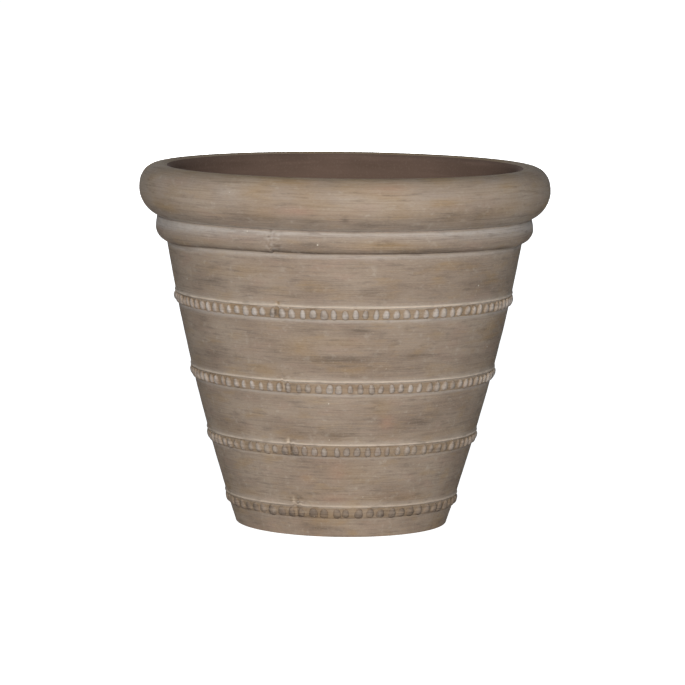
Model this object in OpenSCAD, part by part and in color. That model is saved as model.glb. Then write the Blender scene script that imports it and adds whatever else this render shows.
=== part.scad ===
// Round floor planter of fired clay. A thick wall carries a rolled rim, a collar under it
// and four beaded bands, each a strip pressed on round the wall with its two ends meeting
// on one upright seam. A floor slab drops into the foot, and a rubber plug lifts out of its
// drain hole. The origin is the centre of the foot on the ground, and the front faces -Y.
// Wall, seats and strips all read their radii from one curve, wall_r(z).

/* [Pot] */
// Height from the ground to the crest of the rim
pot_h = 444.5; // [410:0.5:520]
// Diameter over the widest line of the rim
rim_d = 508; // [480:1:560]
// Diameter of the foot on the ground
foot_d = 261.6; // [240:0.1:290]
// How far the wall swells out past a straight taper, at half its height
wall_swell = 9.2; // [2:0.1:14]
// Thickness of the wall, measured level
wall_t = 14; // [11:0.5:18]
// Rounding of the bottom edge of the wall
foot_round = 2; // [1:0.5:6]

/* [Floor] */
// Thickness of the floor slab
floor_t = 16; // [12:0.5:22]
// Height of the slab's underside over the ground
floor_lift = 6; // [5:0.5:9]
// Width of the shoulder in the wall that carries the slab
shoulder_w = 8; // [5:0.5:12]
// Diameter of the drain hole
drain_d = 32; // [24:1:40]

/* [Rim] */
// How far the rim's widest line stands out past the wall's top edge
rim_overhang = 25.5; // [23:0.5:32]
// Height of the crest over the wall's top edge
rim_rise = 40.5; // [34:0.5:48]
// Height of the crest over the rim's widest line
rim_roll_h = 29; // [24:0.5:36]
// Distance of the crest in from the rim's widest line
rim_roll_w = 26; // [22:0.5:32]
// Height of the rim's underside, from the groove up to the widest line
rim_under_h = 33.6; // [27:0.1:38]
// How far the underside draws in on its way down to the groove
rim_under_w = 22.2; // [14:0.1:24]
// Height of the rounding between the crest and the mouth
mouth_round_h = 11; // [6:0.5:16]

/* [Collar] */
// How far the collar stands out of the wall
collar_proud = 10.8; // [7:0.1:12]
// Height of the collar below its fullest line
collar_below = 12.7; // [12:0.1:18]
// Height of the collar above its fullest line, up to the rim's groove
collar_above = 15; // [11:0.5:18]
// How far the collar draws in on its way up to the groove
collar_top_w = 2.2; // [1:0.1:4]
// Step from the wall to the collar at the collar's foot
collar_step = 0.8; // [0.4:0.1:2]

/* [Bands] */
// Height of the lowest band's lip over the ground
low_lip_z = 39.9; // [34:0.1:48]
// Distance of the top band's lip below the collar
top_lip_drop = 64.6; // [45:0.1:75]
// Place of the second band up, as a share of the way from the lowest lip to the top one
band_3_share = 0.315; // [0.27:0.005:0.38]
// Place of the third band up, as a share of the same way
band_2_share = 0.632; // [0.58:0.005:0.7]
// Height of a band from its lip down to its foot
band_h = 15.5; // [15:0.5:19]
// Height of the hollow flare from the wall into the lip
flare_h = 5; // [3:0.5:8]
// Thickness of the lip
lip_t = 1.8; // [1.5:0.1:2.5]
// How far the lip stands out of the wall
lip_proud = 1.2; // [1:0.1:2.5]
// How far the plain ground behind the beads stands out of the wall
ground_proud = 0.4; // [0.2:0.1:0.8]

/* [Beads] */
// Height of a bead
bead_h = 13; // [11:0.1:13.2]
// How far a bead stands out of the wall
bead_proud = 3.9; // [2.5:0.1:4.5]
// How much narrower a bead is at its top than at its foot, as a share of its width
bead_taper = 0.3; // [0:0.05:0.5]
// Width of a bead on the three upper bands
bead_w = 8.2; // [6.5:0.1:9]
// Distance from bead to bead on the three upper bands
bead_pitch = 12.6; // [11.5:0.1:16]
// Width of a bead on the lowest band
low_bead_w = 9.6; // [8:0.1:10.5]
// Distance from bead to bead on the lowest band
low_bead_pitch = 13.8; // [12.5:0.1:18]

/* [Strips] */
// Depth of the seat that each strip and the rim are pressed into
seat_depth = 1.5; // [1:0.1:2.5]
// Angle from the front round to the seam, toward -X
seam_side = 22.3; // [0:0.1:60]
// Width of the joint between a strip's two ends
seam_gap = 0.5; // [0.4:0.1:0.9]

/* [Drain plug] */
// Gap between the plug's shank and the drain hole
plug_clear = 0.3; // [0.2:0.05:0.5]
// How much thinner the shank's radius is at its tip
plug_taper = 1.2; // [0.5:0.1:3]
// How far the shank passes below the slab
plug_through = 2; // [0.5:0.5:4]
// Width of the plug's flange past the hole's edge
flange_w = 7; // [4:0.5:12]
// Thickness of the flange
flange_t = 5; // [3:0.5:8]
// Height of the neck between the flange and the knob
neck_h = 6; // [4:0.5:12]
// Diameter of the neck
neck_d = 12; // [8:0.5:15]
// Height of the knob
knob_h = 9; // [6:0.5:14]
// Diameter of the knob
knob_d = 22; // [18:0.5:26]

/* [Hidden] */
$fn = 120;

clay = "#A39281";
pale_clay = "#B3A391";
dark_clay = "#86715F";
black_rubber = "#2B2A29";

// Longest straight step along the wall's curve, outside and inside
wall_step = 14;
inner_step = 28;
// Steps in a quarter round, in a longer bow, in the hollow flare and in a lip's nose
quarter_steps = 8;
bow_steps = 10;
flare_steps = 4;
nose_steps = 4;
// Steps up the ridge that the beads are cut from, and up the side of one bead
ridge_steps = 4;
gap_steps = 2;
// A bead's oval is this much taller than the ridge, so its ends are cut off
oval_stretch = 1.2;
// How far the space between two beads is sunk below the plain ground, and passes the ridge
gap_sink = 0.25;
gap_over = 0.5;
// How far the cutter of the drain hole passes both faces of the slab
hole_over = 1;

rim_r = rim_d / 2;
wall_top_z = pot_h - rim_rise;
wall_top_r = rim_r - rim_overhang;
mouth_r = wall_top_r - wall_t;
crest_r = rim_r - rim_roll_w;
rim_nose_z = pot_h - rim_roll_h;
groove_z = rim_nose_z - rim_under_h;

floor_top_z = floor_lift + floor_t;
drain_r = drain_d / 2;

collar_nose_z = groove_z - collar_above;
collar_foot_z = collar_nose_z - collar_below;

top_lip_z = collar_foot_z - top_lip_drop;
lip_run = top_lip_z - low_lip_z;
lip_2_z = low_lip_z + band_2_share * lip_run;
lip_3_z = low_lip_z + band_3_share * lip_run;

// Outer radius of the wall at a height: a straight taper with a parabolic swell
function wall_r(z) =
    let (t = z / wall_top_z)
    foot_d / 2 + (wall_top_r - foot_d / 2) * t + 4 * wall_swell * t * (1 - t);
// Radius of the seats pressed into the wall, and of the wall's inside
function seat_r(z) = wall_r(z) - seat_depth;
function inner_r(z) = wall_r(z) - wall_t;

// Top and foot of the band that hangs from a lip
function band_top(lip_z) = lip_z + flare_h;
function band_foot(lip_z) = lip_z - band_h;

// Middle of the row of beads that hangs under a lip
function bead_row_z(lip_z) = (lip_z - lip_t + band_foot(lip_z)) / 2;

// The wall's outside between two heights, in even steps no longer than wall_step
function outside(z0, z1) =
    let (n = ceil((z1 - z0) / wall_step))
    [for (i = [0:n]) let (z = z0 + (z1 - z0) * i / n) [wall_r(z), z]];

// The two corners of a seat pressed into the wall between two heights
function seat(z0, z1) = [[seat_r(z0), z0], [seat_r(z1), z1]];

// An elliptical quarter or bow about [cr, cz], from angle a0 to a1
function bow(cr, cz, w, h, a0, a1, steps) =
    [for (i = [0:steps]) let (a = a0 + (a1 - a0) * i / steps) [cr + w * cos(a), cz + h * sin(a)]];

// Radius of a circle that comes in by "inset" over a height "rise" from its widest line
function bow_radius(rise, inset) = (rise * rise + inset * inset) / (2 * inset);

// A run of points without its first one, which repeats the last one before it
function tail(points) = [for (i = [1:len(points) - 1]) points[i]];

// One full turn of an outline
module turned(points) {
    rotate_extrude() polygon(points);
}

// A strip's outline turned all round but for the joint at the seam
module strip(points, foot_z) {
    gap_deg = seam_gap / (2 * PI * wall_r(foot_z)) * 360;
    rotate([0, 0, -90 - seam_side])
        rotate_extrude(angle = 360 - gap_deg, start = gap_deg / 2)
            polygon(points);
}

module pot_wall() {
    inside_z0 = floor_top_z;
    inside_n = ceil((wall_top_z - inside_z0) / inner_step);
    inside = [
        for (i = [0:inside_n])
            let (z = wall_top_z + (inside_z0 - wall_top_z) * i / inside_n)
            [inner_r(z), z]
    ];
    floor_r = inner_r(floor_lift);
    color(clay) turned(concat(
        bow(wall_r(foot_round) - foot_round, foot_round, foot_round, foot_round, -90, 0, quarter_steps),
        tail(outside(foot_round, band_foot(low_lip_z))),
        seat(band_foot(low_lip_z), band_top(low_lip_z)),
        outside(band_top(low_lip_z), band_foot(lip_3_z)),
        seat(band_foot(lip_3_z), band_top(lip_3_z)),
        outside(band_top(lip_3_z), band_foot(lip_2_z)),
        seat(band_foot(lip_2_z), band_top(lip_2_z)),
        outside(band_top(lip_2_z), band_foot(top_lip_z)),
        seat(band_foot(top_lip_z), band_top(top_lip_z)),
        outside(band_top(top_lip_z), collar_foot_z),
        seat(collar_foot_z, groove_z),
        [[seat_r(wall_top_z), wall_top_z]],
        inside,
        [[floor_r, floor_top_z], [floor_r, floor_lift]],
        [[floor_r - shoulder_w, floor_lift], [floor_r - shoulder_w, 0]]
    ));
}

module floor_slab() {
    color(dark_clay) translate([0, 0, floor_lift]) difference() {
        cylinder(r = inner_r(floor_lift), h = floor_t);
        translate([0, 0, -hole_over]) cylinder(r = drain_r, h = floor_t + 2 * hole_over);
    }
}

module rolled_rim() {
    under_r = bow_radius(rim_under_h, rim_under_w);
    under_a = asin(rim_under_h / under_r);
    color(clay) turned(concat(
        [[seat_r(groove_z), groove_z]],
        bow(rim_r - under_r, rim_nose_z, under_r, under_r, -under_a, 0, bow_steps),
        tail(bow(crest_r, rim_nose_z, rim_roll_w, rim_roll_h, 0, 90, quarter_steps)),
        tail(bow(crest_r, pot_h - mouth_round_h, crest_r - mouth_r, mouth_round_h, 90, 180, quarter_steps)),
        [[mouth_r, wall_top_z], [seat_r(wall_top_z), wall_top_z]]
    ));
}

module collar_ring() {
    nose_r = wall_r(collar_nose_z) + collar_proud;
    foot_r = wall_r(collar_foot_z) + collar_step;
    low_r = bow_radius(collar_below, nose_r - foot_r);
    low_a = asin(collar_below / low_r);
    top_r = bow_radius(collar_above, collar_top_w);
    top_a = asin(collar_above / top_r);
    outline = concat(
        [[seat_r(collar_foot_z), collar_foot_z]],
        bow(nose_r - low_r, collar_nose_z, low_r, low_r, -low_a, 0, bow_steps),
        tail(bow(nose_r - top_r, collar_nose_z, top_r, top_r, 0, top_a, nose_steps)),
        [[seat_r(groove_z), groove_z]]
    );
    color(pale_clay) strip(outline, collar_foot_z);
}

// Outline of a band: foot, a ridge that the beads are cut from, rounded lip, then a hollow
// flare that runs out on the wall
function band_outline(lip_z) =
    let (
        foot_z = band_foot(lip_z),
        under_z = lip_z - lip_t,
        nose_r = lip_t / 2,
        row_z = bead_row_z(lip_z),
        stand = bead_proud - ground_proud
    )
    concat(
        [[seat_r(foot_z), foot_z], [wall_r(foot_z) + ground_proud, foot_z]],
        [for (i = [0:ridge_steps])
            let (a = 180 * i / ridge_steps, z = row_z - bead_h / 2 * cos(a))
            [wall_r(z) + ground_proud + stand * sin(a), z]],
        [[wall_r(under_z) + ground_proud, under_z]],
        bow(wall_r(lip_z) + lip_proud - nose_r, lip_z - nose_r, nose_r, nose_r, -90, 60, nose_steps),
        [for (i = [1:flare_steps])
            let (u = i / flare_steps, z = lip_z + flare_h * u)
            [wall_r(z) + (lip_proud - nose_r / 2) * (1 - u) * (1 - u), z]],
        [[seat_r(band_top(lip_z)), band_top(lip_z)]]
    );

// Half width of a bead at a height over its middle: an oval with cut-off ends, wider at its foot
function bead_half(w, y) =
    w / 2 * sqrt(1 - pow(y / (bead_h / 2 * oval_stretch), 2)) * (1 - bead_taper * y / bead_h);

// Front view of the space between two beads, narrowest at their middles
function gap_outline(w, pitch) =
    let (ys = [for (i = [0:gap_steps]) (bead_h + 2 * gap_over) * (i / gap_steps - 0.5)])
    concat(
        [for (y = ys) [pitch / 2 - bead_half(w, y), y]],
        [for (i = [gap_steps:-1:0]) [bead_half(w, ys[i]) - pitch / 2, ys[i]]]
    );

module bead_band(lip_z, w, pitch) {
    row_z = bead_row_z(lip_z);
    ground_r = wall_r(row_z) + ground_proud;
    lean = atan((wall_r(row_z + 1) - wall_r(row_z - 1)) / 2);
    count = round(2 * PI * ground_r / pitch);
    even_pitch = 2 * PI * ground_r / count;
    difference() {
        strip(band_outline(lip_z), band_foot(lip_z));
        for (i = [1:count])
            rotate([0, 0, -90 - seam_side + 360 * i / count])
                translate([ground_r - gap_sink, 0, row_z])
                    rotate([90 + lean, 0, 90])
                        linear_extrude(2 * bead_proud)
                            polygon(gap_outline(w, even_pitch));
    }
}

module bead_band_1() {
    color(pale_clay) bead_band(top_lip_z, bead_w, bead_pitch);
}

module bead_band_2() {
    color(pale_clay) bead_band(lip_2_z, bead_w, bead_pitch);
}

module bead_band_3() {
    color(pale_clay) bead_band(lip_3_z, bead_w, bead_pitch);
}

module bead_band_4() {
    color(pale_clay) bead_band(low_lip_z, low_bead_w, low_bead_pitch);
}

module drain_plug() {
    shank_r = drain_r - plug_clear;
    flange_r = drain_r + flange_w;
    flange_top_z = floor_top_z + flange_t;
    knob_z = flange_top_z + neck_h;
    neck_r = neck_d / 2;
    color(black_rubber) turned(concat(
        [[0, floor_lift - plug_through], [shank_r - plug_taper, floor_lift - plug_through]],
        [[shank_r, floor_top_z], [flange_r, floor_top_z]],
        bow(flange_r - flange_t / 2, flange_top_z - flange_t / 2, flange_t / 2, flange_t / 2, 0, 90, quarter_steps),
        [[neck_r, flange_top_z]],
        bow(neck_r, knob_z + knob_h / 2, knob_d / 2 - neck_r, knob_h / 2, -90, 90, quarter_steps),
        [[0, knob_z + knob_h]]
    ));
}

floor_slab();
pot_wall();
rolled_rim();
collar_ring();
bead_band_1();
bead_band_2();
bead_band_3();
bead_band_4();
drain_plug();
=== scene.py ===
# %% [markdown]
# A round floor planter of fired clay, dressed over its construction model.
# The real pot is pressed by hand: a thick wall, a rolled rim laid on its top edge, a collar
# under the rim and four beaded strips, all luted on while the clay is wet. Then it is fired,
# washed with a thin pale slip and rubbed back, which leaves pale high lines, ochre hollows
# and fine level brush marks.

# %% Load the construction model as the fixed frame
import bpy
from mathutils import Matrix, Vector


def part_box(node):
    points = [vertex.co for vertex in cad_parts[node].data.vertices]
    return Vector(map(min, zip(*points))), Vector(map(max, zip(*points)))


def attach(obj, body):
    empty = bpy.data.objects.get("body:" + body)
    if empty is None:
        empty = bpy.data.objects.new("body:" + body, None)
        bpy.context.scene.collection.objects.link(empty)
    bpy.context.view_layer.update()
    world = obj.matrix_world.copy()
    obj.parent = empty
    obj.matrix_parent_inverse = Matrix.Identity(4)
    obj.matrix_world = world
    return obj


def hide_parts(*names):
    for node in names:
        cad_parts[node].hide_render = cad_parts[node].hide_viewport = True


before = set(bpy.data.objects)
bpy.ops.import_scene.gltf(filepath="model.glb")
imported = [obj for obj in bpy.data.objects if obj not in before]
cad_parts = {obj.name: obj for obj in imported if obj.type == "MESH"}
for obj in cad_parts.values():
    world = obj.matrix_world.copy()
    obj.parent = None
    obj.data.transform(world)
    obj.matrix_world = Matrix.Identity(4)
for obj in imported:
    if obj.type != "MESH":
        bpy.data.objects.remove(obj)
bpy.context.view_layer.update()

# %% Modules, and the units used below
import math
import random

import bmesh
import bpy
from mathutils import Matrix, Vector, noise

MM = 0.001
TURN = 2 * math.pi

# %% [markdown]
# Every radius of the pot comes from one curve: a straight taper with a gentle swell. The
# heights are read from the construction model, so each piece sits where its solid sits.

# %% The wall's curve, and the heights of what is pressed onto it
FOOT_R = 130.8 * MM
WALL_TOP_R = 228.5 * MM
WALL_SWELL = 9.2 * MM
WALL_T = 14 * MM
SEAT_DEPTH = 1.5 * MM
FLARE_H = 5 * MM
BAND_H = 15.5 * MM
# How pale the flare above a lip is: partly rubbed slip, partly a painted highlight where it faces
# up
LIP_GLOW = 0.42
GLOW_REACH = 3.8 * MM

wall_top_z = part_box("pot_wall")[1].z
floor_top_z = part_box("floor_slab")[1].z
pot_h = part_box("rolled_rim")[1].z
groove_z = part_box("rolled_rim")[0].z
collar_foot_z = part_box("collar_ring")[0].z
rim_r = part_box("rolled_rim")[1].x
lip_heights = [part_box(f"bead_band_{n}")[1].z - FLARE_H for n in (1, 2, 3, 4)]
print("lips at", [round(z / MM, 1) for z in lip_heights], "mm")


def wall_r(z):
    """Outer radius of the wall at a height."""
    t = z / wall_top_z
    return FOOT_R + (WALL_TOP_R - FOOT_R) * t + 4 * WALL_SWELL * t * (1 - t)


def lip_glow(rise):
    """Rubbed slip and a painted highlight above a lip: most at the lip, less up the flare."""
    return LIP_GLOW * math.exp(-max(0.0, rise) / GLOW_REACH)


# %% [markdown]
# A turned form is an outline spun once round the axis. Blender's Screw modifier could do it
# too, but bmesh's spin works on the mesh itself, so the maker's small errors can be pressed
# into the result straight after. Each step of a spin walks over the whole mesh, so a fine
# ring is quicker in doublings: spin a sixteenth of the turn, then copy and turn it 4 times.

# %% Outlines from round stretches, and the spin
WELD = 0.01 * MM
RING_STEPS = 480


def bow(centre_r, centre_z, w, h, a0, a1, steps):
    """An elliptical round about a centre, from one angle in degrees to another."""
    angles = [math.radians(a0 + (a1 - a0) * i / steps) for i in range(steps + 1)]
    return [(centre_r + w * math.cos(a), centre_z + h * math.sin(a)) for a in angles]


def bow_radius(rise, inset):
    """Radius of a circle that comes in by inset over a height rise from its widest line."""
    return (rise * rise + inset * inset) / (2 * inset)


def turned(outline):
    """Spins a closed outline of radius and height once round the pot's axis."""
    bm = bmesh.new()
    corners = [bm.verts.new((r, 0, z)) for r, z in outline]
    edges = [bm.edges.new(pair) for pair in zip(corners, corners[1:] + corners[:1])]
    bmesh.ops.spin(
        bm, geom=corners + edges, cent=(0, 0, 0), axis=(0, 0, 1),
        angle=TURN / 16, steps=RING_STEPS // 16, use_merge=False,
    )
    for part in (16, 8, 4, 2):
        whole = bm.verts[:] + bm.edges[:] + bm.faces[:]
        copy = bmesh.ops.duplicate(bm, geom=whole)["geom"]
        copied = [item for item in copy if isinstance(item, bmesh.types.BMVert)]
        turn = Matrix.Rotation(TURN / part, 3, "Z")
        bmesh.ops.rotate(bm, verts=copied, cent=(0, 0, 0), matrix=turn)
    bmesh.ops.remove_doubles(bm, verts=bm.verts, dist=WELD)
    bmesh.ops.recalc_face_normals(bm, faces=bm.faces)
    return bm


# %% [markdown]
# Nothing on a hand-pressed pot is quite round. Two slow noises push the clay in and out: one
# a hand's width long, one a finger's width. Both are read round the pot, so they close on
# themselves, and every strip and the wall share the first one, so they stay seated.

# %% The maker's unevenness
HAND_PUSH = 0.6 * MM
HAND_LENGTH = 150 * MM
FINGER_LENGTH = 22 * MM
LEVEL_FOOT_H = 20 * MM


def radius(co):
    """Distance from the pot's axis."""
    return math.hypot(co.x, co.y)


def from_front(co):
    """Degrees round the pot from the front, positive to the photograph's right."""
    return math.degrees(math.atan2(co.x, -co.y))


def to_the_side(co):
    """0 at the pot's front and back, 1 at its two sides."""
    return (co.x / radius(co)) ** 2


def held(x):
    """A number held between 0 and 1."""
    return min(1.0, max(0.0, x))


def sway(co, length, flatness=1.0, seed=0.0):
    """Smooth noise between about -1 and 1, with features of one length in metres."""
    return noise.noise(Vector((co.x, co.y, co.z * flatness)) / length + Vector((seed, -seed, seed)))


def bump(x, middle, width):
    """A bell between 0 and 1 about a middle."""
    return math.exp(-(((x - middle) / width) ** 2))


def push(v, outward, upward=0.0):
    """Moves a vertex along its own radius and up."""
    v.co += Vector((v.co.x, v.co.y, 0)).normalized() * outward + Vector((0, 0, upward))


def press_uneven(bm, finger):
    """Presses both unevennesses into a turned form, and leaves the foot level."""
    for v in bm.verts:
        hand = HAND_PUSH * sway(v.co, HAND_LENGTH, 0.8)
        fingers = finger * sway(v.co, FINGER_LENGTH, 1.4, seed=7.0)
        push(v, (hand + fingers) * held(v.co.z / LEVEL_FOOT_H))


# %% [markdown]
# All five strips close at the same side of the front. There the two ends were pushed
# together with a thumb: one end stands a little higher than the other, with a nick between.

# %% The seam where each strip's ends meet
SEAM_LEFT_OF_FRONT = 22.3
SEAM_NEAR = 60 * MM
ENDS_SHARP = 0.8 * MM
ENDS_REACH = 14 * MM
RING_R = 200 * MM

seam_azimuth = -math.pi / 2 - math.radians(SEAM_LEFT_OF_FRONT)
seam_way = Vector((math.cos(seam_azimuth), math.sin(seam_azimuth), 0))
seam_cuts = [i * 0.7 * MM for i in range(-4, 5)]


def from_seam(co):
    """Distance round the pot from the seam, positive to the photograph's right."""
    azimuth = math.atan2(co.y, co.x) - seam_azimuth
    return ((azimuth + math.pi) % TURN - math.pi) * radius(co)


def scuff(co):
    """How far thumb smears beside the seam were rubbed pale, or dark where below 0."""
    return 1.1 * sway(co, 4 * MM, 1.5, seed=13.0) * bump(from_seam(co), 4 * MM, 11 * MM)


def cut_near_seam(bm):
    """Adds edge loops up the strip, so that the nick has points to be pressed into."""
    across = Vector((-seam_way.y, seam_way.x, 0))
    for d in seam_cuts:
        bmesh.ops.bisect_plane(
            bm, geom=bm.verts[:] + bm.edges[:] + bm.faces[:], dist=WELD,
            plane_co=(0, 0, 0), plane_no=Matrix.Rotation(d / RING_R, 3, "Z") @ across,
        )


def missed(d, step):
    """How far a strip's end is shifted up at a distance from the seam, down on its other side."""
    return step * math.tanh(d / ENDS_SHARP) * math.exp(-abs(d) / ENDS_REACH)


def press_seam(bm, nick, step, top_z=0.0, squeezed=0.0):
    """Nicks a strip at the seam, shifts its ends and squeezes clay up over its top line."""
    for v in bm.verts:
        d = from_seam(v.co)
        if abs(d) < SEAM_NEAR:
            swell = 0.45 * nick * (bump(d, -3.5 * MM, 2 * MM) + bump(d, 4.5 * MM, 3 * MM))
            tongues = bump(d, -1 * MM, 2 * MM) + 0.6 * bump(d, 6 * MM, 2 * MM)
            tongue = bump(v.co.z, top_z, 3 * MM) * tongues
            outward = swell - nick * bump(d, 0, 1.5 * MM) + 0.4 * squeezed * tongue
            push(v, outward, missed(d, step) + squeezed * tongue)


# %% [markdown]
# The slip's story is told by height and by how far a point stands out, so each point of the
# clay carries numbers that the materials read: how pale it was rubbed or painted as lit, how
# dark the dirt and the painted shade lie, how ochre it is, how creamy the slip that caught on an
# edge, and how pink the clay. The painted shade lies in creases and under the rim; painted
# highlights lie under the collar and the strips and partly on the lips, and painted side light
# at the sides of the rim and collar. One more attribute unrolls the pot for brush marks: two
# numbers go round it without a break, and the third runs up the outline, over the rim too.
#
# Some marks can be told apart on the real pot: long smears where the brush turned, ochre
# where the slip ran thin, pink from the kiln. Those are placed one by one, where enlarged
# crops of the photograph show them.

# %% Marks of the brush and the kiln
# Degrees from the front, height, half width and half height in millimetres, kind, strength
MARKS = (
    (-50, 312, 24, 9, "dark", 0.35), (-30, 306, 26, 6, "dark", 0.25),
    (-17, 303, 22, 4, "dark", 0.2), (10, 306, 20, 6, "dark", 0.35), (-1, 318, 30, 4, "dark", 0.15),
    (53, 311, 25, 10, "dark", 0.25), (-46, 326, 26, 6, "ochre", 0.3),
    (-30, 330, 16, 8, "ochre", 0.3), (-12, 261, 24, 4, "dark", 0.3), (6, 261, 20, 5, "dark", 0.5),
    (-2, 225, 36, 4, "dark", 0.5), (29, 229, 32, 3.5, "dark", 0.5),
    (-15, 240, 20, 12, "ochre", 0.4), (0, 246, 28, 6, "ochre", 0.35),
    (-55, 222, 18, 8, "dark", 0.25), (28, 213, 26, 3, "dark", 0.25), (-4, 131, 42, 4, "dark", 0.3),
    (18, 146, 9, 9, "pink", 0.8), (34, 145, 24, 5, "dark", 0.42), (15, 167, 14, 9, "ochre", 0.4),
    (-10, 164, 26, 3.5, "dark", 0.2), (38, 153, 24, 3, "dark", 0.35), (-2, 85, 10, 14, "pink", 0.5),
    (-16, 74, 9, 8, "pink", 0.35), (4, 82, 26, 12, "ochre", 0.3), (9, 74, 26, 3, "dark", 0.2),
    (-3, 50, 18, 6, "pink", 0.5), (-8, 22, 26, 8, "ochre", 0.4), (-10, 11, 24, 2.5, "dark", 0.35),
    (25, 50, 30, 4, "dark", 0.15), (-13, 406, 20, 5, "pink", 0.65), (26, 417, 20, 4, "ochre", 0.5),
    (12, 434, 26, 6, "pink", 0.45), (49, 432, 20, 5, "ochre", 0.5),
    (-16, 440, 26, 4, "ochre", 0.35), (29, 404, 18, 4, "dark", 0.35), (40, 401, 22, 4, "dark", 0.3),
    (0, 397, 4, 3, "dark", 0.5), (-30, 404, 34, 6, "dark", 0.15), (-38, 438, 44, 6, "dark", 0.18),
    (12, 365, 44, 6, "ochre", 0.7), (-11, 365, 18, 5, "dark", 0.3), (25, 358, 40, 3, "dark", 0.3),
    (-20, 362, 12, 5, "dark", 0.3), (-46, 362, 30, 4, "ochre", 0.25),
)

# The same for the clay squeezed out at the seams of the four bands, from the top band down
SEAM_MARKS = (
    (-22, 292, 2.5, 2, "ochre", 0.8), (-22.9, 281, 1.6, 5, "dark", 0.6),
    (-24.2, 279, 2, 3, "dark", 0.4), (-22.6, 202, 1.5, 4, "dark", 0.5),
    (-22.1, 190, 1.5, 5, "cream", 0.7), (-21, 189, 2, 5, "dark", 0.35),
    (-23.2, 190, 1.6, 5, "dark", 0.4), (-21.6, 112, 1.6, 6, "dark", 0.7),
    (-22.6, 121, 1.6, 4, "cream", 0.6), (-20.6, 122, 2.5, 2.5, "dark", 0.35),
    (-23.3, 45, 1.6, 5, "cream", 0.6), (-21, 45, 1.3, 5, "dark", 0.6),
    (-19.4, 49, 4, 2.5, "dark", 0.4), (-24.8, 46, 1.6, 3.5, "dark", 0.4),
    (-21, 31, 1.5, 6, "dark", 0.5), (-23.5, 30, 1.5, 5, "dark", 0.4),
)


# %% Attributes that the materials read
NOSE_H = 29 * MM
CREST_IN = 26 * MM
# A mark is left out past this many of its half heights
MARK_REACH = 2.2
# Over the rim the unrolled way runs round an arc: its radius, and how far inside the crest it ends
ROUND_R = 30 * MM
MOUTH_IN = 14 * MM
KINDS = ("pale", "dark", "ochre", "cream", "pink")


def placed_marks(co):
    """What the marks add at a point on the outside, one amount for each kind."""
    amounts = dict.fromkeys(KINDS, 0.0)
    for degrees, height, half_w, half_h, kind, most in MARKS + SEAM_MARKS:
        up = (co.z / MM - height) / half_h
        if abs(up) < MARK_REACH:
            along = math.radians(from_front(co) - degrees) * radius(co) / MM / half_w
            amounts[kind] += most * math.exp(-up * up - along * along)
    return amounts


def unrolled(co):
    """The point on a pot unrolled: a ring of one size, and the way up the outline."""
    r = radius(co)
    run = co.z
    nose_z = pot_h - NOSE_H
    if co.z > nose_z:
        turn_up = math.atan2(co.z - nose_z, max(r - rim_r + CREST_IN, -MOUTH_IN))
        run = nose_z + ROUND_R * turn_up
    return Vector((co.x / r * RING_R, co.y / r * RING_R, run))


def mark(bm, story):
    """Writes the attributes. The story gives the first few kinds, in their order, for a vertex."""
    layers = bm.verts.layers
    way = layers.float_vector.new("unrolled")
    kinds = {kind: layers.float.new(kind) for kind in KINDS}
    for v in bm.verts:
        v[way] = unrolled(v.co)
        amounts = placed_marks(v.co)
        for kind, told in zip(KINDS, story(v)):
            amounts[kind] += told
        for kind, layer in kinds.items():
            v[layer] = held(amounts[kind])


# %% [markdown]
# A finished piece is one mesh with smooth shading, but for its square corners. It rides on the
# pot's body and stands for its solid, which it hides.

# %% Turning a bmesh into a finished piece
SQUARE_CORNER = math.radians(60)


def in_scene(name, data):
    """A new object of some data, linked into the scene."""
    made = bpy.data.objects.new(name, data)
    bpy.context.scene.collection.objects.link(made)
    return made


def finished(bm, name, node):
    """Writes the mesh, shades it smooth and ties it to the frame."""
    mesh = bpy.data.meshes.new(name)
    bm.to_mesh(mesh)
    bm.free()
    for polygon in mesh.polygons:
        polygon.use_smooth = True
    mesh.set_sharp_from_angle(angle=SQUARE_CORNER)
    piece = in_scene(name, mesh)
    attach(piece, "pot")
    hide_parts(node)
    print(name, len(mesh.vertices), "vertices,", len(mesh.polygons), "faces")
    return piece


# %% [markdown]
# The wall is one shell from the foot to the tongue inside the rim. Its outside has a shallow
# seat behind each strip, so that no two surfaces lie in the same place. Rows of points lie
# closer together under each strip, where a thin painted highlight and a painted crease shade
# are drawn.

# %% The wall
FOOT_ROUND = 2 * MM
SHOULDER_W = 8 * MM
ROW_STEP = 3 * MM
CLOSE_FROM = 12 * MM
CLOSE_ROWS = [8 * MM, 5 * MM, 3.2 * MM, 2 * MM, 1.2 * MM, 0.4 * MM, 0]
# How deep the collar's foot sags, at how many degrees from the front, and over how many
SAGS = ((3.8 * MM, -68, 18), (1.8 * MM, 66, 14))


def rows(z0, z1, step, offset=0.0):
    """Points up the wall's curve between two heights, moved in or out by an offset."""
    count = max(1, round(abs(z1 - z0) / step))
    heights = [z0 + (z1 - z0) * i / count for i in range(count + 1)]
    return [(wall_r(z) + offset, z) for z in heights]


def field(z0, z1):
    """The plain wall between two strips, with close rows below the upper one."""
    close = [(wall_r(z1 - d), z1 - d) for d in CLOSE_ROWS]
    return rows(z0, z1 - CLOSE_FROM, ROW_STEP) + close


def collar_sag(co):
    """How far the collar's foot sags where the strip was pressed on a little low."""
    return sum(deep * bump(from_front(co), degrees, width) for deep, degrees, width in SAGS)


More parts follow.
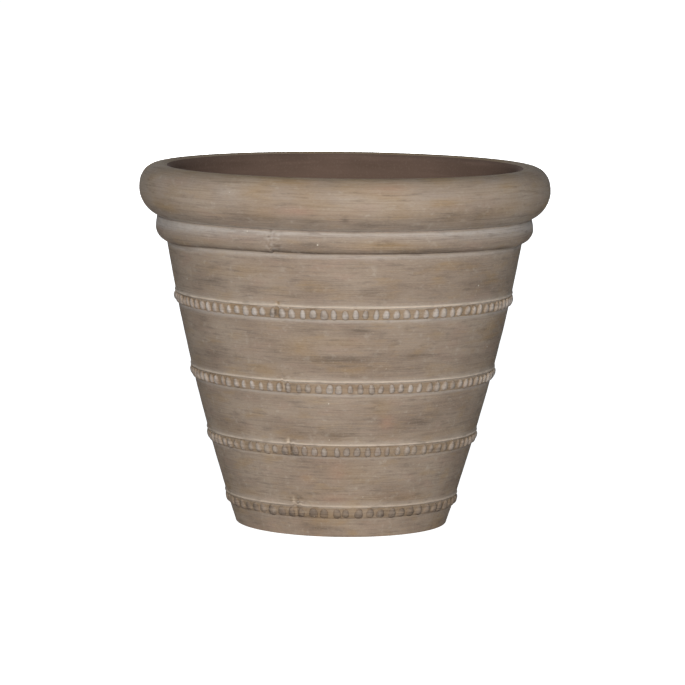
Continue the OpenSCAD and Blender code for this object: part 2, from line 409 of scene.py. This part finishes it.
def wall_story(v):
    """Painted highlights under the collar and strips, painted shade in their creases, ochre over
    each lip.
    """
    z = v.co.z
    foot_line = collar_foot_z - collar_sag(v.co)
    # Painted highlight on the wall just under the collar's foot, and painted shade in the crease at
    # it
    pale = 0.55 * bump(z, foot_line - 3.5 * MM, 3 * MM)
    dark = 0.4 * bump(z, foot_line, 1.3 * MM) + (0.05 if z < lip_heights[0] else 0.0)
    ochre = 0.0
    for n, lip_z in enumerate(lip_heights):
        foot_z = lip_z - BAND_H
        # Above a lip, rubbed slip and a painted highlight. Under a strip, a painted highlight on
        # the wall and painted shade in the crease at the strip's foot
        if z > lip_z:
            pale += (1 - 0.1 * n) * lip_glow(z - lip_z)
        else:
            pale += (0.6 - 0.16 * n) * bump(z, foot_z - 1.5 * MM, (2.6 - 0.5 * n) * MM)
            dark += (0.05 + 0.07 * n) * bump(z, foot_z, 0.7 * MM)
        dark += 0.1 * bump(z, lip_z + 20 * MM, 12 * MM)
        uneven = 0.5 + sway(v.co, 50 * MM, seed=2.0)
        ochre += (0.1 + 0.12 * n) * bump(z, lip_z + 8 * MM, 7 * MM) * uneven
    return pale, dark, max(0.0, ochre)


def make_wall():
    """Foot, fields and seats up the outside, then the tongue, the inside and the shoulder."""
    foot_r = wall_r(FOOT_ROUND) - FOOT_ROUND
    outline = bow(foot_r, FOOT_ROUND, FOOT_ROUND, FOOT_ROUND, -90, 0, 5)
    z = ROW_STEP
    for lip_z in reversed(lip_heights):
        outline += field(z, lip_z - BAND_H)
        outline += rows(lip_z - BAND_H, lip_z + FLARE_H, BAND_H, -SEAT_DEPTH)
        z = lip_z + FLARE_H
    outline += field(z, collar_foot_z)
    outline += rows(collar_foot_z, wall_top_z, 20 * MM, -SEAT_DEPTH)
    outline += rows(wall_top_z, floor_top_z, 10 * MM, -WALL_T)
    floor_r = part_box("floor_slab")[1].x
    floor_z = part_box("floor_slab")[0].z
    outline += [(floor_r, floor_top_z), (floor_r, floor_z)]
    outline += [(floor_r - SHOULDER_W, floor_z), (floor_r - SHOULDER_W, 0)]
    bm = turned(outline)
    mark(bm, wall_story)
    press_uneven(bm, finger=0.25 * MM)
    return finished(bm, "pressed_wall", "pot_wall")


wall = make_wall()

# %% [markdown]
# The rim is a thick coil laid over the wall's top edge and rounded off with a wet hand: a
# long round underside, a tighter one over the crest, and a small one into the mouth.

# %% The rolled rim
UNDER_IN = 22.2 * MM
MOUTH_ROUND_H = 11 * MM
CREST_STEPS = 20
CREST_POWER = 0.88
mouth_r = WALL_TOP_R - WALL_T


def blunt(angle, power):
    """A round's cosine and sine at an angle, pushed out so that its shoulder is full."""
    c, s = math.cos(angle), math.sin(angle)
    return abs(c) ** power, abs(s) ** power


def rim_story(v):
    """Painted shade under the rim, pale on its foot and crest, ochre clouds in between."""
    z, r = v.co.z, radius(v.co)
    # The rim is greyer at both sides, and less dark under it there. That is painted side light,
    # laid into the slip's colour
    painted_side_light = to_the_side(v.co)
    # Painted shade under the rim, where its underside faces down
    dark = 0.34 * (1 - 0.6 * painted_side_light) * bump(z, groove_z + 11 * MM, 6 * MM)
    dark += 0.08 * bump(r, rim_r - CREST_IN - 3 * MM, 5 * MM)
    pale = 0.24 * bump(z, pot_h - NOSE_H + 8 * MM, 14 * MM) + 0.45 * bump(z, groove_z, 2.8 * MM)
    pale += 0.12 * bump(z, groove_z + 9 * MM, 6 * MM)
    if r > rim_r - CREST_IN:
        pale += 0.15 * max(0.0, (z - pot_h + 14 * MM) / (14 * MM))
    ochre = 0.27 + 0.45 * sway(v.co, 38 * MM, 2.0, seed=9.0)
    ochre += 0.3 * bump(r, rim_r - CREST_IN, 10 * MM)
    ochre *= 1 - 0.6 * painted_side_light ** 2
    return pale, dark, ochre * (1 - bump(z, groove_z, 18 * MM))


def make_rim():
    """The underside's long round, the full crest, the round into the mouth, and the seat."""
    nose_z = pot_h - NOSE_H
    crest_r = rim_r - CREST_IN
    under_h = nose_z - groove_z
    under_r = bow_radius(under_h, UNDER_IN)
    under_a = math.degrees(math.asin(under_h / under_r))
    crest_z = pot_h - MOUTH_ROUND_H
    outline = [(wall_r(groove_z) - SEAT_DEPTH, groove_z)]
    outline += bow(rim_r - under_r, nose_z, under_r, under_r, -under_a, 0, 20)
    for i in range(1, CREST_STEPS + 1):
        out, up = blunt(math.radians(90 / CREST_STEPS * i), CREST_POWER)
        outline.append((crest_r + CREST_IN * out, nose_z + NOSE_H * up))
    outline += bow(crest_r, crest_z, crest_r - mouth_r, MOUTH_ROUND_H, 90, 180, 10)[1:]
    outline += [(mouth_r, pot_h - 20 * MM), (mouth_r, pot_h - 30 * MM)]
    outline += [(mouth_r, wall_top_z), (wall_r(wall_top_z) - SEAT_DEPTH, wall_top_z)]
    bm = turned(outline)
    mark(bm, rim_story)
    press_uneven(bm, finger=0.2 * MM)
    return finished(bm, "rolled_rim_coil", "rolled_rim")


rim = make_rim()

# %% [markdown]
# The collar is a half-round strip under the rim, steep above its fullest line and round
# below it. Where its two ends meet, the left one sits a little lower than the right.

# %% The collar
COLLAR_PROUD = 10.8 * MM
COLLAR_STEP = 0.8 * MM
COLLAR_ABOVE = 15 * MM
COLLAR_TOP_IN = 2.2 * MM
COLLAR_MISS = 1.3 * MM


def collar_story(v):
    """Pale along the top, painted shade in both creases, smeared by a thumb beside the seam."""
    z = v.co.z
    # Paler here at both sides: this is painted side light, laid into the slip's colour
    pale = 0.9 * to_the_side(v.co) * bump(z, groove_z - 7 * MM, 6 * MM)
    pale += 0.75 * bump(z, groove_z - 3.5 * MM, 3 * MM) + 0.15 * bump(z, groove_z - 10 * MM, 5 * MM)
    # Painted shade in the crease under the rim and in the crease at the collar's foot
    dark = 0.12 + 0.3 * bump(z, groove_z, 1.5 * MM) + 0.4 * bump(z, collar_foot_z, 3 * MM)
    rubbed = scuff(v.co)
    return pale + max(0.0, rubbed), dark + max(0.0, -0.7 * rubbed), 0.0


def make_collar():
    """A steep round above the fullest line and a fuller one below it, on a plain seat."""
    nose_z = groove_z - COLLAR_ABOVE
    nose_r = wall_r(nose_z) + COLLAR_PROUD
    below = nose_z - collar_foot_z
    low_r = bow_radius(below, nose_r - wall_r(collar_foot_z) - COLLAR_STEP)
    top_r = bow_radius(COLLAR_ABOVE, COLLAR_TOP_IN)
    low_a = math.degrees(math.asin(min(1.0, below / low_r)))
    top_a = math.degrees(math.asin(COLLAR_ABOVE / top_r))
    outline = [(wall_r(collar_foot_z) - SEAT_DEPTH, collar_foot_z)]
    outline += bow(nose_r - low_r, nose_z, low_r, low_r, -low_a, 0, 14)
    outline += bow(nose_r - top_r, nose_z, top_r, top_r, 0, top_a, 10)[1:]
    outline += [(wall_r(groove_z) - SEAT_DEPTH, groove_z)]
    bm = turned(outline)
    cut_near_seam(bm)
    mark(bm, collar_story)
    for v in bm.verts:
        low = held((nose_z - v.co.z) / below)
        push(v, 0, (missed(from_seam(v.co), COLLAR_MISS) - collar_sag(v.co)) * low)
    press_uneven(bm, finger=0.3 * MM)
    press_seam(bm, nick=0.12 * MM, step=0)
    return finished(bm, "collar_strip", "collar_ring")


collar = make_collar()

# %% [markdown]
# A beaded band is a pressed strip: a thin lip at its top with a hollow flare above it, plain
# ground under the lip, and a row of tongue-shaped beads on the ground. Each bead is a small
# squashed sphere of 96 faces, sunk in the strip, narrow at its top and wide at its foot.
# Beads pressed by hand differ, so a seeded generator gives each its own width, height, lean,
# place and rubbing.

# %% The strip of a band
LIP_T = 1.8 * MM
LIP_PROUD = 1.2 * MM
GROUND_PROUD = 0.4 * MM
FLARE_PROUD = LIP_PROUD - 0.35 * MM
FLARE_STEPS = 7
FLARE_HOLLOW = 2.2


def strip_outline(lip_z):
    """Foot, ground, rounded lip and hollow flare, from the bottom up."""
    foot_z = lip_z - BAND_H
    nose_r = LIP_T / 2
    outline = [(wall_r(foot_z) - SEAT_DEPTH, foot_z)]
    outline += bow(wall_r(foot_z), foot_z + GROUND_PROUD, GROUND_PROUD, GROUND_PROUD, -90, 0, 3)
    outline += rows(foot_z + 1.5 * MM, lip_z - LIP_T - 0.3 * MM, 2.5 * MM, GROUND_PROUD)
    outline += bow(wall_r(lip_z) + LIP_PROUD - nose_r, lip_z - nose_r, nose_r, nose_r, -90, 50, 6)
    for i in range(1, FLARE_STEPS + 1):
        u = i / FLARE_STEPS
        z = lip_z + FLARE_H * u
        outline.append((wall_r(z) + FLARE_PROUD * (1 - u) ** FLARE_HOLLOW, z))
    outline += [(wall_r(lip_z + FLARE_H) - SEAT_DEPTH, lip_z + FLARE_H)]
    return outline


# %% The beads of a band
BEAD_H = 14.2 * MM
BEAD_DEPTH = 4.4 * MM
BEAD_PROUD = 3.9 * MM
BEAD_POWER = 0.82
BEAD_TAPER = 0.28
BEAD_LEAN = 5


def squared(c):
    """Pushes a ball's coordinate outward, so that its outline turns blunt."""
    return math.copysign(abs(c) ** BEAD_POWER, c)


def add_bead(bm, rng, azimuth, row_z, w, tilt, tone):
    """One blunt bead, a little crooked, made in a mesh of its own and joined to the strip."""
    half_w = w / 2 * rng.uniform(0.82, 1.15)
    half_h = BEAD_H / 2 * rng.uniform(0.84, 1.02)
    proud = BEAD_PROUD + rng.uniform(-0.9, 0.25) * MM
    z = row_z + rng.uniform(-0.7, 0.3) * MM
    bead = bmesh.new()
    bmesh.ops.create_uvsphere(bead, u_segments=12, v_segments=8, radius=1)
    rubbed = bead.verts.layers.float.new("rubbed")
    for v in bead.verts:
        wide = half_w * (1 - BEAD_TAPER * v.co.z)
        v.co = Vector((v.co.x * BEAD_DEPTH, squared(v.co.y) * wide, squared(v.co.z) * half_h))
        v[rubbed] = tone
    lean = Matrix.Rotation(math.radians(rng.gauss(0, BEAD_LEAN)), 4, "X")
    middle = Matrix.Translation((wall_r(z) + proud - BEAD_DEPTH, 0, z))
    seat = middle @ Matrix.Rotation(tilt, 4, "Y")
    bead.transform(Matrix.Rotation(azimuth, 4, "Z") @ seat @ lean)
    mesh = bpy.data.meshes.new("bead")
    bead.to_mesh(mesh)
    bead.free()
    bm.from_mesh(mesh)
    bpy.data.meshes.remove(mesh)


def add_beads(bm, rng, row_z, w, pitch, rubbing):
    """A whole row of beads, each rubbed by hand more or less."""
    tilt = math.atan2(wall_r(row_z + MM) - wall_r(row_z - MM), 2 * MM)
    count = round(TURN * (wall_r(row_z) + GROUND_PROUD) / pitch)
    for i in range(count):
        azimuth = seam_azimuth + TURN * (i + 0.5 + rng.gauss(0, 0.06)) / count
        way = Vector((math.cos(azimuth), math.sin(azimuth), row_z)) * wall_r(row_z)
        # Of 399 seeds tried, this one came closest to the tones wanted for the beads at six
        # places on the top three bands, as the photograph shows them
        worn = 0.9 + 0.55 * sway(way, 60 * MM, seed=41.5) + rng.uniform(-0.3, 0.15)
        add_bead(bm, rng, azimuth, row_z, w, tilt, rubbing * max(0.25, worn))


# %% A whole band
def make_band(number, bead_w, pitch, rubbing, step, squeezed):
    """The strip with its worn lip, its beads, its slip and its seam."""
    lip_z = lip_heights[number - 1]
    foot_z = lip_z - BAND_H
    rng = random.Random(40 + number)
    bm = turned(strip_outline(lip_z))
    cut_near_seam(bm)
    for v in bm.verts:
        near_lip = bump(v.co.z, lip_z, 3 * MM)
        worn = 0.35 * MM * sway(v.co, 9 * MM, 0.2, seed=3.0 + number)
        wander = 0.5 * MM * sway(v.co, 45 * MM, 0.2, seed=5.0 + number)
        push(v, worn * near_lip, (wander + worn) * near_lip)
    add_beads(bm, rng, (lip_z - LIP_T + foot_z) / 2, bead_w, pitch, rubbing)
    rubbed = bm.verts.layers.float["rubbed"]
    low = number - 1

    def story(v):
        """Creamy lip, partly a painted highlight, and pale beads, ochre ground between them,
        painted shade in the crease at the foot, and dark outlines.
        """
        z = v.co.z
        scar = bump(from_seam(v.co), 0, 5 * MM)
        smeared = scuff(v.co)
        # The lip's pale line is slip caught on the ledge, and partly a painted highlight where it
        # faces up
        if z > lip_z - 1.2 * LIP_T and v[rubbed] == 0:
            line = bump(z, lip_z - 0.4 * MM, 1.6 * MM)
            lip = max((1.0 - 0.2 * low) * line, (1.0 - 0.1 * low) * lip_glow(z - lip_z))
            lip += max(0.0, 0.5 * smeared)
            caught = (0.8 - 0.09 * low) * line * line
            return lip, max(0.0, -0.7 * smeared), 0.05 + 0.15 * scar, caught
        stands = (radius(v.co) - wall_r(z)) / MM
        on_bead = held((stands - 0.7) / 1.5)
        sunk = 1 - on_bead
        up = held((z - foot_z) / (0.6 * BAND_H))
        outlined = 0.0 if v[rubbed] == 0 else up * bump(stands, 0.7, 0.6)
        blotched = v[rubbed] * (1 + 0.9 * sway(v.co, 4.5 * MM, seed=17.0 + number))
        # Painted shade in the crease at the strip's foot
        painted_crease_shade = (0.05 + 0.07 * low) * bump(z, foot_z, 1.5 * MM)
        dark = 0.08 * sunk + painted_crease_shade + on_bead * max(0.0, 0.7 - blotched) * 0.65
        dark += (0.04 + 0.13 * low) * outlined + max(0.0, -0.7 * smeared)
        dark += (0.03 * low * low) * (lip_z - z) / BAND_H
        ochre = (0.4 + 0.04 * low) * sunk + 0.15 * scar
        return on_bead * blotched + 0.07 * low * sunk, dark, ochre

    mark(bm, story)
    press_seam(bm, nick=0.9 * MM, step=step, top_z=lip_z, squeezed=squeezed)
    press_uneven(bm, finger=0.25 * MM)
    return finished(bm, f"bead_strip_{number}", f"bead_band_{number}")


bands = [
    make_band(1, bead_w=8.8 * MM, pitch=12.6 * MM, rubbing=0.8, step=-0.4 * MM, squeezed=0.8 * MM),
    make_band(2, bead_w=8.6 * MM, pitch=12.6 * MM, rubbing=0.7, step=-0.3 * MM, squeezed=0.8 * MM),
    make_band(3, bead_w=8.6 * MM, pitch=12.6 * MM, rubbing=0.5, step=0.3 * MM, squeezed=1.6 * MM),
    make_band(4, bead_w=10.2 * MM, pitch=13.8 * MM, rubbing=0.08, step=0.5 * MM, squeezed=3 * MM),
]

# %% [markdown]
# The floor slab and the rubber plug keep their solids, which have the right shape already.
# They only need their materials.
#
# One helper adds every node, with its options and its inputs. An input is a plain value or
# the output of another node. Paints are written as sRGB hex, as a colour chart would give
# them, and one function turns them to the linear values that light needs.

# %% Helpers for shader nodes
def linear(hex_colour):
    """An sRGB hex colour as linear red, green, blue and alpha."""
    parts = [int(hex_colour[i:i + 2], 16) / 255 for i in (1, 3, 5)]
    return tuple(c / 12.92 if c <= 0.04045 else ((c + 0.055) / 1.055) ** 2.4 for c in parts) + (1,)


def add(owner, kind, inputs=None, **options):
    """Adds a node to a material or world, sets its options and fills or links its inputs."""
    node = owner.node_tree.nodes.new("ShaderNode" + kind)
    for name, value in options.items():
        setattr(node, name, value)
    for name, value in (inputs or {}).items():
        if isinstance(value, bpy.types.NodeSocket):
            owner.node_tree.links.new(value, node.inputs[name])
        else:
            node.inputs[name].default_value = value
    return node


# A Mix node has a set of sockets for each kind of data. These are its colour sockets.
UNDER, OVER, MIXED = 6, 7, 2


def mixed(owner, factor, under, over):
    """One colour laid over another by a factor."""
    inputs = {"Factor": factor, UNDER: under, OVER: over}
    return add(owner, "Mix", inputs, data_type="RGBA").outputs[MIXED]


def maths(owner, operation, *values, clamp=False):
    """What a Math node makes of its values."""
    inputs = dict(enumerate(values))
    return add(owner, "Math", inputs, operation=operation, use_clamp=clamp).outputs["Value"]


def empty_material(name):
    """A new material with no nodes."""
    material = bpy.data.materials.new(name)
    material.use_nodes = True
    material.node_tree.nodes.clear()
    return material


def per_metre(feature_mm):
    """Texture scale that gives features of about this many millimetres."""
    return 1000 / feature_mm


def mottling(m, place, feature_mm, detail, rough=0.5):
    """A noise with features of about this many millimetres."""
    return add(m, "TexNoise", {
        "Vector": place, "Scale": per_metre(feature_mm), "Detail": detail, "Roughness": rough,
    }).outputs["Fac"]


def laid_over(m, colour, over, value, low, high, most, **options):
    """A colour with another over it: none of that at the low value, its most at the high one."""
    share = add(m, "MapRange", {
        "Value": value, "From Min": low, "From Max": high, "To Max": most,
    }, **options)
    return mixed(m, share.outputs["Result"], colour, over)


def surfaced(m, colour, height, strength, depth, rough, gloss):
    """Ends a material with its relief, its colour, its roughness and its gloss."""
    raised = add(m, "Bump", {"Height": height, "Strength": strength, "Distance": depth})
    shader = add(m, "BsdfPrincipled", {
        "Base Color": colour, "Roughness": rough, "Specular IOR Level": gloss,
        "Normal": raised.outputs["Normal"],
    })
    add(m, "OutputMaterial", {"Surface": shader.outputs["BSDF"]})
    return m


# %% [markdown]
# The outside is fired clay with a rubbed-in slip: dead matt, a warm grey-brown body with a
# pale greige wash over it, ochre where the wash ran thin and faint pink where it caught the
# kiln. One grainy noise would give the mottling but no brush marks, so the noise is squeezed
# upward into long level streaks, laid over broad clouds and under a fine grain of grog.

# %% Rubbed-slip clay
CLAY_ROUGH = 0.95
CLAY_GLOSS = 0.05
# Chips: the size of a cell, a speck's radius as a share of it, how rare, and how opaque
CHIP_CELL_MM = 9
CHIP_RADIUS = 0.10
CHIP_RARE = 0.965
CHIP_COVER = 0.7

BODY = linear("#93806F")
WASH = linear("#A89684")
OCHRE = linear("#A2855F")
PINK = linear("#A98C7B")
SOOT = linear("#73665B")
PALE = linear("#C1B6AC")
# Dirt, and the painted shade in creases and under the rim
DIRT_AND_SHADE = linear("#584B41")
CHIP = linear("#D8CFC0")
BLUSH = linear("#AE8C77")
CREAM = linear("#D8C4AD")

# Feature size in millimetres, how far it is squeezed upward, and detail, for each layer
LAYERS = {
    "cloud": (85, 2.0, 2.0),
    "patch": (55, 3.0, 2.0),
    "streak": (120, 48.0, 3.0),
    "hair": (60, 45.0, 2.0),
    "smear": (26, 6.0, 2.0),
    "fleck": (8, 1.2, 2.0),
    "grain": (3.2, 2.6, 2.0),
}


def make_washed_clay():
    """Body and wash in clouds, then the stains, rubbed lines and painted light and shade, then
    the fine marks.
    """
    m = empty_material("rubbed_slip_fired_clay")
    way = add(m, "Attribute", attribute_name="unrolled").outputs["Vector"]
    fac = {}
    for seed, (layer, (size, squeeze, detail)) in enumerate(LAYERS.items()):
        place = add(m, "Mapping", {
            "Vector": way, "Scale": (1, 1, squeeze), "Location": (seed, 2 * seed, 3 * seed),
        })
        fac[layer] = mottling(m, place.outputs["Vector"], size, detail, rough=0.55)
    strokes = maths(m, "ADD", fac["hair"], fac["smear"])
    # A stain or painted shade is an attribute broken up by brush strokes, and a rubbed line or
    # painted highlight one broken up by flecks, so that nothing runs even round the pot
    for kind, source, low, high, least in (
        ("ochre", strokes, 0.8, 1.2, 0.5), ("pink", strokes, 0.8, 1.2, 0.5),
        ("dark", strokes, 0.8, 1.2, 0.5), ("pale", fac["fleck"], 0.3, 0.75, 0.7),
        ("cream", fac["fleck"], 0.3, 0.75, 0.7),
    ):
        breaks = add(m, "MapRange", {
            "Value": source, "From Min": low, "From Max": high, "To Min": least, "To Max": 1.25,
        })
        amount = add(m, "Attribute", attribute_name=kind).outputs["Fac"]
        fac[kind] = maths(m, "MULTIPLY", amount, breaks.outputs["Result"], clamp=True)
    colour = BODY
    # Layer, the range of its value over which it comes in, how much of it there is, its colour
    for layer, low, high, most, over in (
        ("cloud", 0.32, 0.68, 1.0, WASH),
        ("patch", 0.55, 0.72, 0.45, OCHRE),
        ("patch", 0.44, 0.30, 0.3, PINK),
        ("streak", 0.50, 0.68, 0.35, WASH),
        # The pale attribute holds rubbed slip and painted highlights, the dark one dirt and painted
        # shade
        ("pale", 0.0, 1.0, 1.0, PALE),
        ("ochre", 0.0, 1.0, 1.0, OCHRE),
        ("pink", 0.0, 1.0, 1.0, BLUSH),
        ("dark", 0.0, 1.0, 1.0, DIRT_AND_SHADE),
        ("cream", 0.0, 1.0, 1.0, CREAM),
        ("hair", 0.50, 0.70, 0.26, SOOT),
        ("smear", 0.56, 0.74, 0.44, SOOT),
        ("smear", 0.42, 0.28, 0.2, OCHRE),
        ("fleck", 0.58, 0.74, 0.2, SOOT),
        ("fleck", 0.42, 0.26, 0.13, CHIP),
        ("grain", 0.45, 0.75, 0.07, CHIP),
        ("grain", 0.42, 0.25, 0.1, SOOT),
    ):
        colour = laid_over(m, colour, over, fac[layer], low, high, most)
    # Chips: one cell in about thirty has a pale speck at its middle, up to 2 mm across where
    # the surface cuts it
    cells = add(m, "TexVoronoi", {"Vector": way, "Scale": per_metre(CHIP_CELL_MM)}).outputs
    chosen = add(m, "SeparateColor", {"Color": cells["Color"]}).outputs["Red"]
    speck = maths(m, "LESS_THAN", cells["Distance"], CHIP_RADIUS)
    rare = maths(m, "GREATER_THAN", chosen, CHIP_RARE)
    chips = maths(m, "MULTIPLY", maths(m, "MULTIPLY", speck, rare), CHIP_COVER)
    colour = mixed(m, chips, colour, CHIP)
    # Brush marks stand up by some tenths of a millimetre, and grog makes the surface rough
    relief = maths(m, "ADD", fac["streak"], fac["hair"])
    gritty = maths(m, "MULTIPLY_ADD", fac["grain"], 0.6, relief)
    return surfaced(m, colour, gritty, 0.6, 0.6 * MM, CLAY_ROUGH, CLAY_GLOSS)


washed_clay = make_washed_clay()
print("washed clay has", len(washed_clay.node_tree.nodes), "nodes")

# %% [markdown]
# Inside, the clay is bare and brown, wiped round with a sponge, and it took up some damp.
# The plug is moulded black rubber with a dull bloom.

# %% Bare clay, and rubber
RAISED_FROM_Z = 437 * MM
RAISED_FULL_Z = 414 * MM
RAISED_BY = 0.5
RUBBER_ROUGH = 0.6
RUBBER_GLOSS = 0.5

BARE = linear("#69564B")
RAISED = linear("#8C7465")
RUBBER = linear("#232221")
BLOOM = linear("#3A3836")


def make_bare_clay():
    """Brown clay with damp clouds, sponge wipes round it and a fine grain."""
    m = empty_material("bare_sponged_fired_clay")
    place = add(m, "TexCoord").outputs["Object"]
    wiped = add(m, "Mapping", {"Vector": place, "Scale": (1, 1, 14)}).outputs["Vector"]
    wipe = mottling(m, wiped, 90, 3.0)
    damp = mottling(m, place, 70, 3.0)
    grain = mottling(m, place, 2.4, 2.0)
    colour = BARE
    for source, low, high, most, over in (
        (damp, 0.4, 0.65, 0.6, "#745F53"),
        (wipe, 0.5, 0.7, 0.4, "#80695C"),
        (wipe, 0.45, 0.3, 0.3, "#5A483D"),
        (grain, 0.5, 0.75, 0.25, "#907C6C"),
    ):
        colour = laid_over(
            m, colour, linear(over), source, low, high, most, interpolation_type="SMOOTHSTEP",
        )
    # The photograph's inside is evenly bright. This lamp's light falls off below the mouth, so
    # the colour is raised there to make up for it
    height = add(m, "SeparateXYZ", {"Vector": place}).outputs["Z"]
    colour = laid_over(m, colour, RAISED, height, RAISED_FROM_Z, RAISED_FULL_Z, RAISED_BY)
    gritty = maths(m, "MULTIPLY_ADD", grain, 0.5, wipe)
    return surfaced(m, colour, gritty, 0.4, 0.5 * MM, CLAY_ROUGH, CLAY_GLOSS)


def make_rubber():
    """Near-black rubber with a dull bloom in clouds and a moulded grain."""
    m = empty_material("moulded_black_rubber")
    place = add(m, "TexCoord").outputs["Object"]
    colour = mixed(m, mottling(m, place, 14, 4.0), RUBBER, BLOOM)
    grain = mottling(m, place, 1.0, 2.0)
    return surfaced(m, colour, grain, 0.25, 0.1 * MM, RUBBER_ROUGH, RUBBER_GLOSS)


bare_clay = make_bare_clay()
rubber = make_rubber()
print("bare clay and rubber made")

# %% [markdown]
# The slip was brushed over the rim and stops just inside the mouth, where a wet sponge took
# it off. Faces further in are bare.

# %% Give every piece its material
SLIP_EDGE_R = 220.5 * MM


def dress(piece, *materials):
    """Puts materials in place of those the piece has."""
    piece.data.materials.clear()
    for m in materials:
        piece.data.materials.append(m)


def bare_inside(piece, inner_edge):
    """Gives the faces inside a radius the second material."""
    bare = 0
    for polygon in piece.data.polygons:
        if radius(polygon.center) < inner_edge(polygon.center.z):
            polygon.material_index = 1
            bare += 1
    print(piece.name, "has", bare, "bare faces")


dress(wall, washed_clay, bare_clay)
bare_inside(wall, lambda z: wall_r(z) - WALL_T / 2)
dress(rim, washed_clay, bare_clay)
bare_inside(rim, lambda z: SLIP_EDGE_R if z > wall_top_z - MM else 0)
for piece in [collar] + bands:
    dress(piece, washed_clay)
dress(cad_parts["floor_slab"], bare_clay)
dress(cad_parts["drain_plug"], rubber)

# %% [markdown]
# The camera stands well back with a long lens, a little above the rim, as for a shop
# photograph. Its height, distance and tilt were worked out from the ellipses of the rim and
# the bands. The picture leans by less than a degree, so the camera does too.

# %% Camera
LENS_MM = 208.65
SENSOR_MM = 36
TILT_DOWN = 6.737
LEAN = 0.717
CAMERA_PLACE = (-0.0007, -4.897, 0.80145)

camera_data = bpy.data.cameras.new("camera")
camera_data.lens = LENS_MM
camera_data.sensor_width = SENSOR_MM
camera = in_scene("camera", camera_data)
tilt = Matrix.Rotation(math.radians(90 - TILT_DOWN), 4, "X")
look = tilt @ Matrix.Rotation(math.radians(LEAN), 4, "Z")
camera.matrix_world = Matrix.Translation(CAMERA_PLACE) @ look
bpy.context.scene.camera = camera

# %% [markdown]
# Soft studio light: one broad panel behind the camera, above it and a little to its left,
# and a dim bluish world that fills the shadows. A weaker panel behind lights the back, which
# the photograph doesn't show.

# %% Lights
LAMP_COLOUR = (1, 0.985, 0.97)


def panel(name, place, size, power):
    """A square soft light aimed at the middle of the pot."""
    data = bpy.data.lights.new(name, "AREA")
    data.shape = "SQUARE"
    data.size = size
    data.energy = power
    data.color = LAMP_COLOUR
    lamp = in_scene(name, data)
    lamp.location = place
    aim = Vector((0, 0, pot_h / 2)) - Vector(place)
    lamp.rotation_euler = aim.to_track_quat("-Z", "Y").to_euler()


panel("front_panel", (-0.22, -6.4, 1.35), 2.2, 343)
panel("back_panel", (-0.9, 6.4, 1.2), 2.6, 120)

# %% [markdown]
# The world and the floor show white to the camera, in gloss and through glass, while they
# light the pot at a plain level. The floor still takes the pot's shadow.

# %% World and floor
SKY_FILL = 0.2
SKY_BLUE = (0.64, 0.81, 1, 1)
WHITE = (1, 1, 1, 1)
PAPER = (0.8, 0.8, 0.8, 1)
PAPER_GLOW = 0.94
FLOOR_HALF = 40


def seen_directly(owner):
    """1 for rays that show the surroundings themselves, 0 for rays that light the pot."""
    rays = add(owner, "LightPath").outputs
    shown = maths(owner, "MAXIMUM", rays["Is Camera Ray"], rays["Is Glossy Ray"])
    return maths(owner, "MAXIMUM", shown, rays["Is Transmission Ray"])


world = bpy.data.worlds.new("studio")
bpy.context.scene.world = world
world.use_nodes = True
world.node_tree.nodes.clear()
shown = seen_directly(world)
strength = add(world, "MapRange", {"Value": shown, "To Min": SKY_FILL, "To Max": 1.0})
tint = mixed(world, shown, SKY_BLUE, WHITE)
sky = add(world, "Background", {"Color": tint, "Strength": strength.outputs["Result"]})
add(world, "OutputWorld", {"Surface": sky.outputs["Background"]})

floor_bm = bmesh.new()
bmesh.ops.create_grid(floor_bm, x_segments=1, y_segments=1, size=FLOOR_HALF)
floor_mesh = bpy.data.meshes.new("studio_floor")
floor_bm.to_mesh(floor_mesh)
floor_bm.free()
studio_floor = in_scene("studio_floor", floor_mesh)
paper = empty_material("white_paper")
matt = add(paper, "BsdfDiffuse", {"Color": PAPER})
glow = add(paper, "Emission", {"Color": WHITE, "Strength": PAPER_GLOW})
lifted = add(paper, "AddShader", {0: matt.outputs["BSDF"], 1: glow.outputs["Emission"]})
pick = add(paper, "MixShader", {
    0: seen_directly(paper), 1: matt.outputs["BSDF"], 2: lifted.outputs["Shader"],
})
add(paper, "OutputMaterial", {"Surface": pick.outputs["Shader"]})
floor_mesh.materials.append(paper)
bpy.context.scene.view_settings.view_transform = "Standard"
